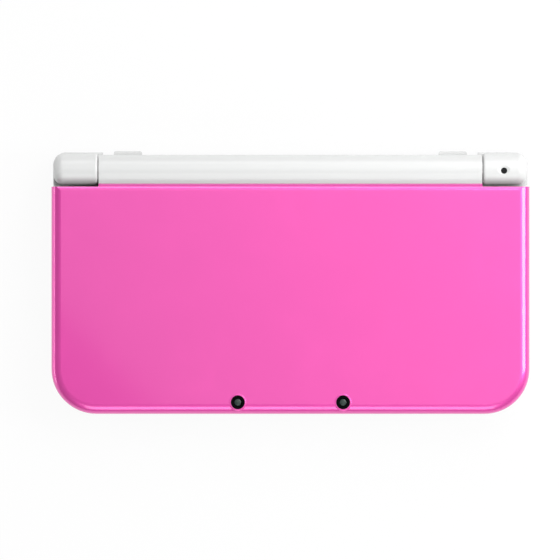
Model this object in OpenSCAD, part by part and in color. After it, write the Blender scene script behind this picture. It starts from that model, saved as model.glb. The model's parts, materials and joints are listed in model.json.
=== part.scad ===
// Clamshell handheld game console, closed and lying on its back cover.
// Sizes are in millimetres. +X is to the right, +Y towards the hinge, +Z up.
// The front edge faces -Y. The lid turns about the hinge line at the back.

/* [Overall] */
// Width of the lower screen's window; the body grows with it
low_w = 82; // [78:1:90]
// Height of the lower screen's window; the body grows with it
low_h = 61.6; // [56:0.2:68]
// Space from the front edge to the lower screen's window
front_margin = 11.05; // [10.5:0.05:14]
// Space left beside the slide pad's moving skirt
side_margin = 5.186; // [4.8:0.002:9]
// Height of the control deck over the lower case
deck_h = 3.4; // [3.2:0.1:4]
// Thickness of the lid
lid_h = 9.1; // [8.6:0.1:12]
// Gap that the rubber pads keep between the two halves
lid_gap = 1; // [0.9:0.05:1.5]
// Plan radius of the lid's front corners
corner_r = 15.1; // [12:0.1:16]
// Roll of the lid's outer edge
rim_r = 3.3; // [2.5:0.1:4]
// Roll of the lid cover's back edge, along the barrel
back_roll = 2.4; // [1.5:0.1:2.6]
// How far the lid stands out past the lower half
overhang = 0.5; // [0.3:0.1:1]

/* [Shells] */
// Wall of the lid's outer cover
shell_t = 1.3; // [1:0.1:1.6]
// Side wall of the lower half
case_t = 1.4; // [1.2:0.1:1.6]
// Thickness of the deck plate
deck_t = 1.4; // [1.2:0.1:1.6]
// Height of the back cover's rim
cover_h = 2.9; // [2.6:0.1:3.3]
// Floor of the back cover
cover_t = 1; // [0.8:0.1:1.2]
// Height of the four low feet
foot_h = 0.35; // [0.2:0.05:0.5]
// Thickness of the lid's inner frame plate
frame_t = 1.6; // [1.4:0.1:1.8]

/* [Hinge] */
// Radius of the lid's centre barrel
barrel_r = 4.75; // [4.4:0.05:5.3]
// How much larger the end caps' radius is
cap_step = 0.45; // [0.2:0.05:0.8]
// Length of an end cap
cap_len = 14.7; // [12:0.1:18]
// Height of the hinge line above the deck
hinge_rise = 4.2; // [3.8:0.1:4.6]
// Slope of the fairing between the barrel and the lid
fair_angle = 25; // [20:1:35]
// Gap between barrel, caps and deck trough
hinge_gap = 0.3; // [0.25:0.05:0.4]
// Radius of the clutch pin on the left
clutch_pin_r = 1.6; // [1.3:0.05:1.9]
// Radius of the hollow pin on the right
tube_pin_r = 2.4; // [2.1:0.05:2.7]

/* [Controls] */
// Radius of the slide pad
pad_r = 8.8; // [8:0.1:10]
// Travel of the slide pad to each side
pad_travel = 2; // [1.5:0.1:2]
// Length of the direction pad across both arms
dpad_len = 19; // [17:0.1:20]
// Width of one arm of the direction pad
dpad_arm = 6.6; // [6:0.1:7.4]
// Radius of a face button
key_r = 3.7; // [3.2:0.1:4]
// Distance of the face buttons from their common centre
key_pitch = 9.4; // [9:0.1:10]
// Radius of the small stick
nub_r = 2.6; // [2.2:0.1:2.8]
// Height of the keys above the deck
key_up = 0.8; // [0.5:0.05:0.85]

/* [Ports] */
// Width of the card slot
card_w = 34; // [33:0.1:36]
// Height of the card slot
card_t = 4.1; // [4.05:0.05:4.6]
// Radius of the headphone jack's bore
jack_r = 1.8; // [1.75:0.05:1.85]
// Radius of the stylus
stylus_r = 1.9; // [1.6:0.05:2]
// Radius of the outer cameras' black rings
camera_r = 2.3; // [1.8:0.1:2.4]
// Width of the pink boss round a camera
boss_w = 0.65; // [0.5:0.05:0.8]
// Distance of an outer camera from the middle
camera_x = 17.6; // [15:0.1:22]

/* [Fits] */
// Radial clearance of pins in moving pieces
pin_fit = 0.05; // [0.03:0.01:0.08]
// Gap round keys in the deck
key_gap = 0.25; // [0.15:0.05:0.35]

/* [Hidden] */
$fn = 96;
// Slide pad: its opening and skirt stay clear of the pad in all corners of its travel
pad_open_r = pad_r + pad_travel * 1.4143 + 0.3;
skirt_r = pad_open_r + pad_travel * 1.4143 + 0.15;
strip_w = 2 * (skirt_r + pad_travel) + side_margin;
// Outline of the closed console, wrapped round the screen and the controls
cap_r = barrel_r + cap_step;
hw = low_w / 2 + strip_w;
body_w = 2 * hw;
screen_back = 4.5;
trigger_out = 1.35;
body_d = front_margin + low_h + screen_back + 0.1 + 2 * barrel_r + trigger_out;
front_y = -body_d / 2;
back_y = body_d / 2;
// Heights
case_z1 = cover_h + card_t + 1;
base_h = case_z1 + deck_h;
lid_z0 = base_h + lid_gap;
lid_z1 = lid_z0 + lid_h;
// Lower half
base_hw = hw - overhang;
base_front = front_y + overhang;
base_back = back_y - trigger_out;
base_r = corner_r - overhang;
rear_r = 3;
deck_z0 = base_h - deck_t;
floor_t = 0.6;
floor_z = case_z1 - 2.1;
board_z = floor_z + floor_t;
board_t = 0.6;
port_z = (cover_h + case_z1) / 2;
// Hinge
hinge_y = base_back - barrel_r;
hinge_z = base_h + hinge_rise;
cap_x1 = base_hw - 0.3;
cap_x0 = cap_x1 - cap_len;
barrel_x = cap_x0 - hinge_gap;
cap_z0 = hinge_z - cap_r;
cap_round = 3.1;
cap_in = 0.8;
bore_r = clutch_pin_r + 1.4;
pin_x0 = barrel_x - 14;
lamp_x = cap_x1 - cap_len / 2 - 0.41;
lamp_y = hinge_y - 0.6;
lamp_r = 1.05;
// Lid
lid_back = hinge_y - barrel_r - 0.1;
lid_notch = hinge_y - cap_r - 0.75;
frame_h = frame_t + 0.8;
shell_z0 = lid_z0 + frame_h;
plate_z1 = lid_z0 + frame_t;
glass_t = 0.8;
// Screens
low_y = lid_back - screen_back - low_h / 2;
touch_t = 0.6;
lcd_t = 1.5;
lcd_z0 = deck_z0 - touch_t - lcd_t;
up_w = low_w + 20;
up_h = low_h - 0.4;
up_y = lid_back - 6.5 - up_h / 2;
glass_x = up_w / 2 + 10;
glass_y0 = front_y + 3.1;
glass_y1 = lid_back - 3.6;
speaker_x = hw - 9.5;
speaker_y = up_y + 1;
slider_y = up_y + 6;
camera_y = front_y + 3.95;
// Control positions
ctl_x = hw - strip_w / 2;
pad_y = lid_back - skirt_r - pad_travel - 2.69;
dpad_y = pad_y - skirt_r - pad_travel - dpad_len / 2 - 3.09;
keys_y = lid_back - key_pitch - 11.7;
nub_x = low_w / 2 + 8;
nub_y = lid_back - 8.1;
small_r = 2.2;
start_y = keys_y - key_pitch - key_r - 10.9;
select_y = start_y - 8;
home_y = base_front + 4.95;
home_w = 9;
home_d = 3.4;
key_top = base_h + key_up;
dpad_top_z = key_top - 0.3;
flange_z1 = deck_z0 - 0.1;
flange_z0 = flange_z1 - 0.7;
dpad_ball_z = flange_z0 - 0.1;
ball_r = 0.7;
key_board_z = dpad_ball_z - ball_r;
nub_ball_z = flange_z0 - 0.2;
// Triggers: outer and inner pair, each in its slot
trig_z0 = cover_h + 1.45;
trig_z1 = trig_z0 + 4.4;
slot_z0 = trig_z0 - 0.25;
slot_z1 = trig_z1 + 0.25;
outer_x = cap_x0 - 1.6;
outer_trig_y = back_y - 0.45;
outer_pin = [outer_x + 1.9, base_back - 1.9];
inner_x0 = cap_x0 - 14.7;
inner_x1 = cap_x0 - 5.2;
inner_pin = [inner_x0 + 1.5, base_back - 2.1];
trig_pin_r = 0.75;
// Ports and what lies behind them
card_x = -hw + 35;
card_y1 = base_front + 35.5;
stylus_x = hw - 54;
stylus_len = body_d - 14;
stylus_z = port_z;
power_x = hw - 26;
light_x = [hw - 19.1, hw - 15.9];
bat_x0 = card_x + card_w / 2 + 4;
bat_x1 = stylus_x - stylus_r - 4.1;
bat_y0 = base_front + 15.5;
bat_y1 = hinge_y - 12;
jack_len = 12.9;
// Screws
case_screw_at = [[-hw + 10, base_front + 9.5], [hw - 10, base_front + 9.5], [-cap_x0 + 12.5, hinge_y - 4.4],
                 [cap_x0 - 12.5, hinge_y - 4.4], [bat_x0 + 2, base_front + 4.7], [hw - 36, base_front + 4.7]];
cover_screw_at = [[-cap_x0 + 24.5, hinge_y - 2], [cap_x0 - 24.5, hinge_y - 2]];
lid_screw_at = [[-hw + 6.5, front_y + 7.6], [hw - 6.5, front_y + 7.6], [-hw + 6.5, lid_notch - 4.4],
                [hw - 6.5, lid_notch - 4.4]];
lid_pad_r = 2.2;

// ---------- Shared shapes ----------

// Section of a rounded edge: x runs outwards to r, the roll is at the outer top
module edge_profile(r, h, re) {
    intersection() {
        square([r, h]);
        union() {
            square([r - re, h]);
            square([r, h - re]);
            translate([r - re, h - re])
                circle(r = re);
        }
    }
}

module edge_bar(len, r, h, re) {
    rotate([90, 0, 0])
        linear_extrude(height = len, center = true)
            edge_profile(r, h, re);
}

// Plate whose top edge rolls over with radius re, through true torus corners.
// rf and rb are the plan radii at the front and back; rb = 0 ends it square.
module soft_plate(xh, y0, y1, rf, rb, h, re) {
    span_y = y1 - rb - y0 - rf;
    for (s = [0, 1])
        mirror([s, 0, 0]) {
            translate([xh - rf, y0 + rf, 0])
                rotate([0, 0, -90])
                    rotate_extrude(angle = 90)
                        edge_profile(rf, h, re);
            translate([xh - rf, y0 + rf + span_y / 2, 0])
                edge_bar(span_y, rf, h, re);
            if (rb > 0)
                translate([xh - rb, y1 - rb, 0])
                    rotate_extrude(angle = 90)
                        edge_profile(rb, h, re);
        }
    translate([0, y0 + rf, 0])
        rotate([0, 0, -90])
            edge_bar(2 * (xh - rf), rf, h, re);
    if (rb > 0)
        translate([0, y1 - rb, 0])
            rotate([0, 0, 90])
                edge_bar(2 * (xh - rb), rb, h, re);
    translate([-(xh - rf), y0 + rf, 0])
        cube([2 * (xh - rf), span_y, h]);
}

// Plan outline with rounded corners
module plan(xh, y0, y1, rf, rb) {
    for (s = [-1, 1]) {
        translate([s * (xh - rf), y0 + rf])
            circle(r = rf);
        if (rb > 0)
            translate([s * (xh - rb), y1 - rb])
                circle(r = rb);
    }
    translate([-(xh - rf), y0])
        square([2 * (xh - rf), y1 - y0 - rb]);
    translate([-xh, y0 + rf])
        square([2 * xh, y1 - rb - y0 - rf]);
    if (rb > 0)
        translate([-(xh - rb), y0 + rf])
            square([2 * (xh - rb), y1 - y0 - rf]);
}

module base_plan(inset) {
    plan(base_hw - inset, base_front + inset, base_back - inset, base_r - inset, rear_r - inset);
}

// Box by its two corners
module block(a, b) {
    translate(a)
        cube([b[0] - a[0], b[1] - a[1], b[2] - a[2]]);
}

module rod(at, r, z0, z1) {
    translate([at[0], at[1], z0])
        cylinder(r = r, h = z1 - z0);
}

module rod_x(x0, x1, r) {
    translate([x0, hinge_y, hinge_z])
        rotate([0, 90, 0])
            cylinder(r = r, h = x1 - x0);
}

// Flat-ended pill lying in the XZ plane, from y0 to y1
module pill_y(x, z, w, h, y0, y1) {
    translate([x, y1, z])
        rotate([90, 0, 0])
            linear_extrude(height = y1 - y0)
                pill(w, h);
}

module pill(w, h) {
    square([w - h, h], center = true);
    for (s = [-1, 1])
        translate([s * (w - h) / 2, 0])
            circle(d = h);
}

// ---------- Lower half, outside ----------

module rear_cover() {
    color("HotPink")
        difference() {
            union() {
                difference() {
                    translate([0, 0, cover_h])
                        mirror([0, 0, 1])
                            soft_plate(base_hw, base_front, base_back, base_r, rear_r, cover_h - foot_h, 2.2);
                    translate([0, 0, foot_h + cover_t])
                        linear_extrude(height = cover_h)
                            base_plan(case_t);
                }
                for (sx = [-1, 1])
                    for (y = [base_front + 12, base_back - 9])
                        rod([sx * (base_hw - 12), y], 3, 0, foot_h + 0.5);
                for (p = cover_screw_at)
                    rod(p, 2.8, foot_h, cover_h - 0.1);
                // Stiffening ribs inside, beside the battery
                for (x = [-ctl_x - 6, -ctl_x + 6, ctl_x - 24, ctl_x - 10, ctl_x + 4])
                    block([x - 0.4, base_front + 12, foot_h + 0.5], [x + 0.4, hinge_y - 12, foot_h + cover_t + 0.5]);
            }
            for (p = cover_screw_at) {
                rod(p, 1.75, -1, foot_h + 1);
                rod(p, 0.85, -1, cover_h + 1);
            }
            // Shallow bare field for a label
            block([-low_w / 4, low_y - 12, -1], [low_w / 4, low_y + 6, foot_h + 0.2]);
        }
}

module trigger_slot(x0, x1, y0) {
    block([x0, y0, slot_z0], [x1, back_y + 5, slot_z1]);
}

// The four openings that the triggers move in
module trigger_slots() {
    for (s = [0, 1])
        mirror([s, 0, 0]) {
            trigger_slot(inner_x0 - 0.5, inner_x1 + 0.55, base_back - 5.3);
            trigger_slot(outer_x - 0.4, hw + 5, base_back - 7.8);
        }
}

module trigger_slot_walls() {
    for (s = [0, 1])
        mirror([s, 0, 0]) {
            block([inner_x0 - 1.7, base_back - 6.5, cover_h], [outer_x + 0.8, base_back - 0.7, case_z1]);
            block([inner_x1 + 0.55, base_back - 9, cover_h], [base_hw - 0.7, base_back - 3, case_z1]);
        }
}

// Bore of the stylus, through the front wall and the tunnel
module stylus_bore() {
    translate([stylus_x, base_front - 1, stylus_z])
        rotate([-90, 0, 0])
            cylinder(r = stylus_r + 0.1, h = stylus_len + 1.9);
}

// Gap in the front wall and the floor for the cage of the card slot
module card_room() {
    block([card_x - card_w / 2 - 0.7, base_front - 1, cover_h - 1],
          [card_x + card_w / 2 + 0.7, card_y1 + 0.5, case_z1 + 1]);
}

// Outer ring of the lower half, with every opening of its front and back walls
module lower_case() {
    color("WhiteSmoke")
        difference() {
            union() {
                translate([0, 0, cover_h])
                    linear_extrude(height = case_z1 - cover_h)
                        difference() {
                            base_plan(0);
                            base_plan(case_t);
                        }
                trigger_slot_walls();
            }
            trigger_slots();
            card_room();
            stylus_bore();
            // Headphone jack
            translate([0, base_front - 1, port_z])
                rotate([-90, 0, 0])
                    cylinder(r = jack_r + 0.6, h = 5);
            // Power button and status lights
            pill_y(power_x, port_z, 8.3, 2.9, base_front - 1, base_front + 3);
            for (x = light_x)
                pill_y(x, port_z, 2, 1.2, base_front - 1, base_front + 3);
            // Charging port and infrared window in the back wall
            pill_y(0, port_z, 8.2, 3.4, base_back - 5, base_back + 1);
            pill_y(-22, port_z, 9, 3.2, base_back - 3, base_back + 1);
            // Strap loop: two holes with a bar between them
            for (s = [-1, 1])
                pill_y(22 + s * 1.7, port_z, 1.8, 1.6, base_back - 5, base_back + 1);
        }
}

// Inner floor with the battery bay, the stylus tunnel and the screw posts
module case_floor() {
    color("WhiteSmoke")
        difference() {
            union() {
                translate([0, 0, floor_z])
                    linear_extrude(height = floor_t)
                        base_plan(case_t + 0.02);
                block([bat_x0 - 1.2, bat_y0 - 1.2, foot_h + cover_t + 0.1], [bat_x1 + 1.2, bat_y1 + 1.2, floor_z + 0.3]);
                intersection() {
                    translate([stylus_x, base_front + case_t + 0.02, stylus_z])
                        rotate([-90, 0, 0])
                            cylinder(r = stylus_r + 1, h = stylus_len + 1.5);
                    block([0, base_front, 0], [hw, base_back, lcd_z0 - 0.1]);
                }
                for (p = case_screw_at)
                    rod(p, 2.4, cover_h, case_z1);
                for (p = cover_screw_at)
                    rod(p, 2.4, cover_h, floor_z + 0.3);
            }
            trigger_slot_walls();
            trigger_slots();
            block([bat_x0 - 0.2, bat_y0 - 0.2, 0], [bat_x1 + 0.2, bat_y1 + 0.2, floor_z]);
            card_room();
            stylus_bore();
            block([-3.1, base_front, cover_h - 1], [3.1, base_front + jack_len + 1, case_z1 + 1]);
            block([power_x - 5.4, base_front, cover_h - 1], [power_x + 5.4, base_front + case_t + 2, case_z1 + 1]);
            block([light_x[0] - 1.4, base_front, cover_h - 1], [light_x[1] + 1.4, base_front + case_t + 2, case_z1 + 1]);
            block([-4.3, base_back - 7, cover_h - 1], [4.3, base_back, case_z1 + 1]);
            block([-26.7, base_back - 3, cover_h - 1], [-17.3, base_back, case_z1 + 1]);
            for (p = case_screw_at) {
                rod(p, 1.6, cover_h - 1, cover_h + 1.2);
                rod(p, 0.8, cover_h - 1, case_z1 + 1);
            }
            for (p = cover_screw_at)
                rod(p, 0.75, cover_h - 1, floor_z + 1);
        }
}

// Room above the deck for the lid's barrel and for the caps
module hinge_room() {
    rod_x(-barrel_x - hinge_gap, barrel_x + hinge_gap, barrel_r + hinge_gap + 0.05);
    for (s = [0, 1])
        mirror([s, 0, 0])
            block([cap_x0, hinge_y - cap_r - 0.05, cap_z0], [hw + 1, back_y + 1, base_h + 1]);
}

module deck_inside() {
    translate([0, 0, case_z1 - 1])
        linear_extrude(height = deck_z0 - case_z1 + 1)
            base_plan(case_t);
}

module key_hole(x, y, r) {
    rod([x, y], r + key_gap, deck_z0 - 1, base_h + 1);
}

module deck_controls() {
    // Lower screen window with a sloped lip
    translate([0, low_y, 0]) {
        block([-low_w / 2, -low_h / 2, deck_z0 - 1], [low_w / 2, low_h / 2, base_h + 1]);
        for (i = [1:3])
            block([-low_w / 2 - i * 0.25, -low_h / 2 - i * 0.25, base_h - 1 + i * 0.25],
                  [low_w / 2 + i * 0.25, low_h / 2 + i * 0.25, base_h + 1]);
    }
    key_hole(-ctl_x, pad_y, pad_open_r - key_gap);
    for (a = [0, 90])
        translate([-ctl_x, dpad_y, deck_z0 - 1])
            rotate([0, 0, a])
                linear_extrude(height = 4)
                    square([dpad_len + 2 * key_gap, dpad_arm + 2 * key_gap], center = true);
    for (a = [0:3])
        key_hole(ctl_x + key_pitch * cos(90 * a), keys_y + key_pitch * sin(90 * a), key_r);
    key_hole(nub_x, nub_y, nub_r + 0.15);
    key_hole(ctl_x, start_y, small_r);
    key_hole(ctl_x, select_y, small_r);
    translate([0, home_y, deck_z0 - 1])
        linear_extrude(height = 4)
            pill(home_w + 2 * key_gap, home_d + 2 * key_gap);
    rod([12, home_y], 0.45, deck_z0 - 1, base_h + 1);
}

module deck() {
    color("White")
        difference() {
            union() {
                difference() {
                    translate([0, 0, case_z1])
                        soft_plate(base_hw, base_front, base_back, base_r, rear_r, base_h - case_z1, 1);
                    deck_inside();
                }
                // Bed under the barrel's trough and shelves under the caps
                block([-cap_x0, hinge_y - 4.5, hinge_z - barrel_r - 1.7], [cap_x0, base_back - 0.7, deck_z0 + 0.3]);
                for (s = [0, 1])
                    mirror([s, 0, 0])
                        block([cap_x0 - 1.5, base_back - 10.6, slot_z1], [base_hw - 0.7, base_back - 0.7, deck_z0 + 0.3]);
                for (p = case_screw_at)
                    rod(p, 2.4, case_z1, deck_z0 + 0.3);
            }
            hinge_room();
            trigger_slots();
            deck_controls();
            for (p = case_screw_at)
                rod(p, 0.8, case_z1 - 1, deck_z0 + 0.6);
            for (s = [0, 1])
                mirror([s, 0, 0]) {
                    rod(inner_pin, trig_pin_r, 0, slot_z1 + 0.6);
                    rod(outer_pin, trig_pin_r, 0, slot_z1 + 0.6);
                }
            rod([lamp_x, lamp_y], lamp_r + 0.2, slot_z1 - 1, cap_z0 + 1);
        }
}

// One end cap, drawn on the right: a half-round top with a rolled end over a square foot
module end_cap() {
    translate([cap_x0, hinge_y, hinge_z])
        rotate([0, 90, 0])
            rotate([0, 0, 90])
                rotate_extrude(angle = 180)
                    intersection() {
                        edge_profile(cap_r, cap_len, cap_round);
                        translate([0, cap_len])
                            mirror([0, 1])
                                edge_profile(cap_r, cap_len, cap_in);
                    }
    translate([0, 0, cap_z0])
        linear_extrude(height = hinge_z - cap_z0) {
            translate([cap_x0 + cap_in, hinge_y - cap_r])
                square([cap_len - cap_round - cap_in, 2 * cap_r]);
            translate([cap_x0, hinge_y - cap_r + cap_in])
                square([cap_len / 2, 2 * (cap_r - cap_in)]);
            translate([cap_x0, hinge_y - cap_r + cap_round])
                square([cap_len, 2 * (cap_r - cap_round)]);
            for (s = [-1, 1]) {
                translate([cap_x1 - cap_round, hinge_y + s * (cap_r - cap_round)])
                    circle(r = cap_round);
                translate([cap_x0 + cap_in, hinge_y + s * (cap_r - cap_in)])
                    circle(r = cap_in);
            }
        }
}

module hinge_cap_left() {
    color("White")
        difference() {
            mirror([1, 0, 0])
                end_cap();
            rod_x(-cap_x0 - 9, -cap_x0 + 1, clutch_pin_r);
        }
}

module hinge_cap_right() {
    color("White")
        difference() {
            end_cap();
            rod_x(cap_x0 - 1, cap_x0 + 5, tube_pin_r);
            rod([lamp_x, lamp_y], lamp_r, cap_z0 - 1, lid_z1 + 1);
            translate([lamp_x, lamp_y, hinge_z + cap_r - 0.35])
                cylinder(r1 = lamp_r, r2 = 2.4 * lamp_r, h = 0.5);
        }
}

module notification_light() {
    color("DimGray")
        rod([lamp_x, lamp_y], lamp_r - 0.02, cap_z0 - 0.6, hinge_z + cap_r - 0.35);
}

module hinge_pin_left() {
    color("Silver")
        rod_x(-cap_x0 - 9, -pin_x0, clutch_pin_r);
}

module hinge_pin_right() {
    color("Silver")
        difference() {
            rod_x(pin_x0, cap_x0 + 5, tube_pin_r);
            rod_x(pin_x0 - 1, cap_x0 + 6, tube_pin_r - 0.8);
        }
}

// ---------- Lower half, inside ----------

module battery() {
    color("DarkSlateGray")
        union() {
            block([bat_x0, bat_y0, foot_h + cover_t + 0.2], [bat_x1, bat_y1, floor_z]);
            for (i = [0:2])
                block([bat_x0 + 8 + i * 5, bat_y1, floor_z - 3.4], [bat_x0 + 11 + i * 5, bat_y1 + 0.2, floor_z - 0.8]);
        }
}

// Room that a board leaves round the screw posts of the lower half
module post_room() {
    for (p = concat(case_screw_at, cover_screw_at))
        rod(p, 2.8, 0, base_h);
}

// Chip or can on the main board, by its place from the board's corner and its size
module chip(x, y, w, d) {
    block([bat_x0 - 1.5 + x, bat_y0 + y, board_z + board_t / 2], [bat_x0 - 1.5 + x + w, bat_y0 + y + d, lcd_z0 - 0.15]);
}

module main_board() {
    color("DarkGreen")
        difference() {
            union() {
                block([bat_x0 - 1.5, bat_y0 + 0.5, board_z], [bat_x1 + 2, hinge_y - 7, board_z + board_t]);
                block([-ctl_x + 15.5, card_y1 + 1.5, board_z], [bat_x0, hinge_y - 7, board_z + board_t]);
                // Processor, memory, power chip and two cans
                chip(9.5, 14, 13, 13);
                chip(27.5, 12, 10, 12);
                chip(7.5, 34, 9, 9);
                chip(23.5, 34, 14, 11);
                chip(-14, 34, 11, 14);
            }
            post_room();
        }
}

// The board under the face keys and the one under the direction pad
module button_boards() {
    color("DarkGreen")
        difference() {
            union() {
                block([stylus_x + stylus_r + 2.6, base_front + 13.5, board_z], [base_hw - 3, hinge_y - 7.4, board_z + board_t]);
                // Sensor that carries the small stick
                rod([nub_x, nub_y], small_r, board_z, nub_ball_z - ball_r);
                block([-base_hw + 3.5, dpad_y - dpad_len / 2 - 3.5, key_board_z - board_t],
                      [-ctl_x + 14.5, dpad_y + dpad_len / 2 + 3, key_board_z]);
            }
            post_room();
        }
}

// Small board under the home key, with the microphone on it
module front_board() {
    color("DarkGreen")
        union() {
            block([-8, home_y - 2.9, case_z1], [16, home_y + 2.6, case_z1 + 0.4]);
            rod([12, home_y], 1.9, case_z1, deck_z0 - 0.3);
        }
}

// Cage that takes a game card; its mouth fills the gap in the front wall
module card_slot() {
    color("DimGray")
        difference() {
            block([card_x - card_w / 2 - 0.6, base_front + 0.25, port_z - card_t / 2 - 0.3],
                  [card_x + card_w / 2 + 0.6, card_y1, port_z + card_t / 2 + 0.3]);
            block([card_x - card_w / 2, base_front - 1, port_z - card_t / 2],
                  [card_x + card_w / 2, card_y1 - 3, port_z + card_t / 2]);
        }
}

module microsd_slot() {
    color("Silver")
        difference() {
            block([stylus_x + 11, low_y, floor_z - 1.7], [stylus_x + 24, low_y + 15, floor_z]);
            block([stylus_x + 12, low_y + 1, floor_z - 1.35], [stylus_x + 23, low_y + 16, floor_z - 0.45]);
        }
}

module headphone_jack() {
    color("DimGray")
        difference() {
            union() {
                block([-3, base_front + case_t, port_z - jack_r - 0.6], [3, base_front + jack_len, case_z1 - 0.15]);
                translate([0, base_front + 0.15, port_z])
                    rotate([-90, 0, 0])
                        cylinder(r = jack_r + 0.55, h = 3);
            }
            translate([0, base_front - 1, port_z])
                rotate([-90, 0, 0])
                    cylinder(r = jack_r, h = jack_len + 0.1);
        }
}

module charge_port() {
    color("Silver")
        union() {
            difference() {
                pill_y(0, port_z, 8.1, 3.3, base_back - 6.5, base_back - 0.3);
                pill_y(0, port_z, 7.2, 2.4, base_back - 5.5, base_back + 1);
            }
            block([-2.6, base_back - 6, port_z - 0.35], [2.6, base_back - 1.4, port_z + 0.35]);
        }
}

module ir_window() {
    color("Maroon")
        pill_y(-22, port_z, 8.9, 3.1, base_back - 1.6, base_back - 0.1);
}

module status_lights() {
    color("Gold")
        for (x = light_x)
            pill_y(x, port_z, 1.9, 1.1, base_front + 0.1, base_front + 2.6);
}

module lower_display() {
    color("DimGray")
        block([-low_w / 2 - 1.4, low_y - low_h / 2 - 1.1, lcd_z0], [low_w / 2 + 1.4, low_y + low_h / 2 + 1.1, lcd_z0 + lcd_t]);
}

module touch_panel() {
    color("Black")
        block([-low_w / 2 - 2, low_y - low_h / 2 - 1.6, deck_z0 - touch_t],
              [low_w / 2 + 2, low_y + low_h / 2 + 1.6, deck_z0]);
}

// Rubber dome sheet: a flat web with one raised dome per key
module key_mats() {
    color("Gray") {
        difference() {
            union() {
                block([ctl_x - key_pitch - 5, select_y - 4.5, board_z + board_t],
                      [ctl_x + key_pitch + 5, keys_y + key_pitch + 4.9, board_z + board_t + 0.5]);
                for (a = [0:3])
                    mat_dome(ctl_x + key_pitch * cos(90 * a), keys_y + key_pitch * sin(90 * a));
                mat_dome(ctl_x, start_y);
                mat_dome(ctl_x, select_y);
            }
            rod([nub_x, nub_y], small_r + 0.4, 0, base_h);
            post_room();
        }
        difference() {
            rod([-ctl_x, dpad_y], dpad_len / 2 - 1.5, key_board_z, key_board_z + 0.12);
            rod([-ctl_x, dpad_y], 2, key_board_z - 1, key_board_z + 1);
        }
    }
}

module mat_dome(x, y) {
    translate([x, y, board_z + board_t])
        cylinder(r1 = 3.2, r2 = 2, h = flange_z0 - 1 - board_z - board_t);
}

module pad_housing() {
    color("DimGray")
        difference() {
            block([-ctl_x - pad_r - 4.2, pad_y - pad_r - 4.2, board_z], [-ctl_x + pad_r + 4.2, pad_y + pad_r + 4.2, flange_z0 - 0.85]);
            block([-ctl_x - 7.4 - pad_travel, pad_y - 3.6, flange_z0 - 1.6], [-ctl_x + 7.4 + pad_travel, pad_y + 3.6, base_h]);
        }
}

// One switch behind each trigger
module shoulder_switches() {
    color("DimGray")
        for (s = [0, 1])
            mirror([s, 0, 0]) {
                block([outer_x + 8.5, base_back - 7.8, slot_z0 + 0.4], [outer_x + 12.9, base_back - 5.6, slot_z1 - 0.6]);
                block([inner_x1 - 4.7, base_back - 5.3, slot_z0 + 0.4], [inner_x1 - 1.3, base_back - 4.9, slot_z1 - 0.6]);
            }
}

module trigger_pins() {
    color("Silver")
        for (s = [0, 1])
            mirror([s, 0, 0]) {
                rod(inner_pin, trig_pin_r, slot_z0, slot_z1 + 0.5);
                rod(outer_pin, trig_pin_r, slot_z0, slot_z1 + 0.5);
            }
}

module screw(p, r_head, h_head, r, z0, z1) {
    difference() {
        union() {
            rod(p, r_head, z0, z0 + h_head);
            rod(p, r, z0, z1);
        }
        for (a = [0, 90])
            translate([p[0], p[1], z0])
                rotate([0, 0, a])
                    cube([1.5, 0.35, 0.8], center = true);
    }
}

module case_screws() {
    color("Silver")
        for (p = case_screw_at)
            screw(p, 1.5, 0.8, 0.8, cover_h + 0.4, deck_z0 + 0.2);
}

module cover_screws() {
    color("Silver")
        for (p = cover_screw_at)
            screw(p, 1.65, 0.7, 0.75, foot_h + 0.3, floor_z);
}

// ---------- Controls ----------

// Carries the slide pad from side to side; the pad's skirt slides along it
module pad_carriage() {
    color("Gray")
        block([-ctl_x - 7, pad_y - 3.5, flange_z0 - 1.55], [-ctl_x + 7, pad_y + 3.5, flange_z0 - 0.15]);
}

module pad_skirt() {
    color("Gray")
        union() {
            rod([-ctl_x, pad_y], skirt_r, flange_z0 - 0.1, flange_z1);
            rod([-ctl_x, pad_y], 3, flange_z1 - 0.1, deck_z0 + 0.2);
        }
}

// Grip disc with a raised ring and a dished middle
module slide_pad() {
    color("Gray")
        translate([-ctl_x, pad_y, deck_z0 + 0.2])
            difference() {
                rotate_extrude()
                    edge_profile(pad_r, key_top - deck_z0 - 0.2, 0.7);
                translate([0, 0, key_top - deck_z0 - 0.2 + 19])
                    sphere(r = 19.7);
            }
}

module dpad_pivot() {
    color("Silver")
        translate([-ctl_x, dpad_y, dpad_ball_z])
            sphere(r = ball_r);
}

module dpad() {
    color("Gray")
        translate([-ctl_x, dpad_y, 0])
            difference() {
                union() {
                    for (a = [0, 90])
                        rotate([0, 0, a])
                            translate([0, 0, dpad_ball_z + 0.1])
                                linear_extrude(height = dpad_top_z - dpad_ball_z - 0.1)
                                    square([dpad_len, dpad_arm], center = true);
                    rod([0, 0], dpad_len / 2, dpad_ball_z + 0.1, dpad_ball_z + 0.4);
                }
                translate([0, 0, dpad_ball_z])
                    sphere(r = ball_r + pin_fit);
                translate([0, 0, dpad_top_z + 3.6])
                    sphere(r = 4.1);
                for (a = [0:3])
                    rotate([0, 0, 90 * a])
                        translate([dpad_len / 2 - 2.6, 0, dpad_top_z - 0.3])
                            linear_extrude(height = 1)
                                polygon([[-1, -1.3], [1.2, 0], [-1, 1.3]]);
            }
}

// Round key with a flange under the deck plate and a gently rounded top
module round_key(x, y, r, top) {
    translate([x, y, 0]) {
        rod([0, 0], r + 0.9, flange_z0, flange_z1);
        translate([0, 0, flange_z0])
            rotate_extrude()
                edge_profile(r, top - flange_z0, 0.6);
    }
}

module face_key(a) {
    round_key(ctl_x + key_pitch * cos(a), keys_y + key_pitch * sin(a), key_r, key_top);
}

module button_a() {
    color("White")
        face_key(0);
}

module button_x() {
    color("White")
        face_key(90);
}

module button_y() {
    color("White")
        face_key(180);
}

module button_b() {
    color("White")
        face_key(270);
}

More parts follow.
